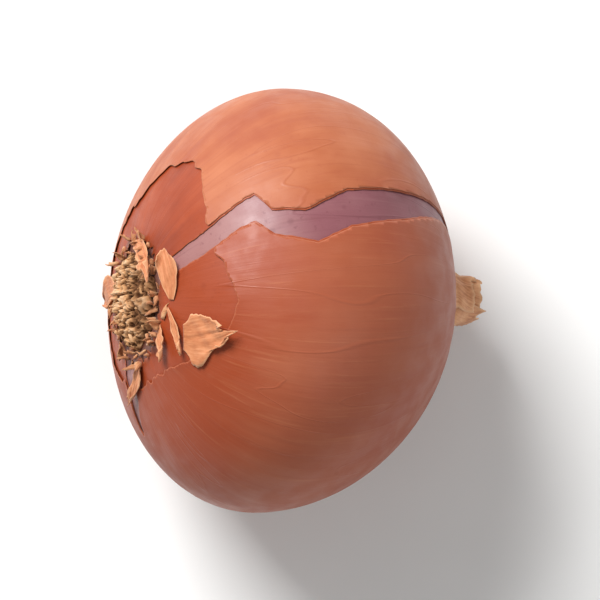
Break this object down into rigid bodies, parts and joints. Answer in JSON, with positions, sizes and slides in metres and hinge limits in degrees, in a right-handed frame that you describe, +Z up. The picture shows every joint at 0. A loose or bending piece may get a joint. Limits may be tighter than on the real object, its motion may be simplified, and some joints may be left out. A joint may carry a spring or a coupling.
{
  "type": "shallot bulb",
  "caption": "Round brown-skinned shallot lying on its side, with a dry neck, a root plate and torn flaps of papery skin round the roots.",
  "frame": {"origin": "middle of the small flat spot on the bulb's side that it rests on, under its centre of mass", "axes": "+Z up, away from the table; -X towards the raised root end, +X towards the dry neck; Y across the widest ring. The bulb's own axis lies in the XZ plane and drops 27 degrees from the root end to the neck"},
  "size_m": [0.0429, 0.0455, 0.0398],
  "materials": {
    "brown_skin": null,
    "papery_skin": "thin matt papery skin, light tan, slightly translucent",
    "dried_root": "crumbly dry root plate and root stubs, straw over dark brown"
  },
  "bodies": {
    "root": {"bulb": "brown_skin", "dry_neck": "papery_skin", "root_tuft": "dried_root", "skin_flap_petal": "papery_skin", "skin_flap_curled": "papery_skin", "skin_flap_torn": "papery_skin", "skin_strip_narrow": "papery_skin", "skin_strip_short": "papery_skin", "skin_strip_lower": "papery_skin", "skin_flap_under": "papery_skin"}
  },
  "joints": []
}
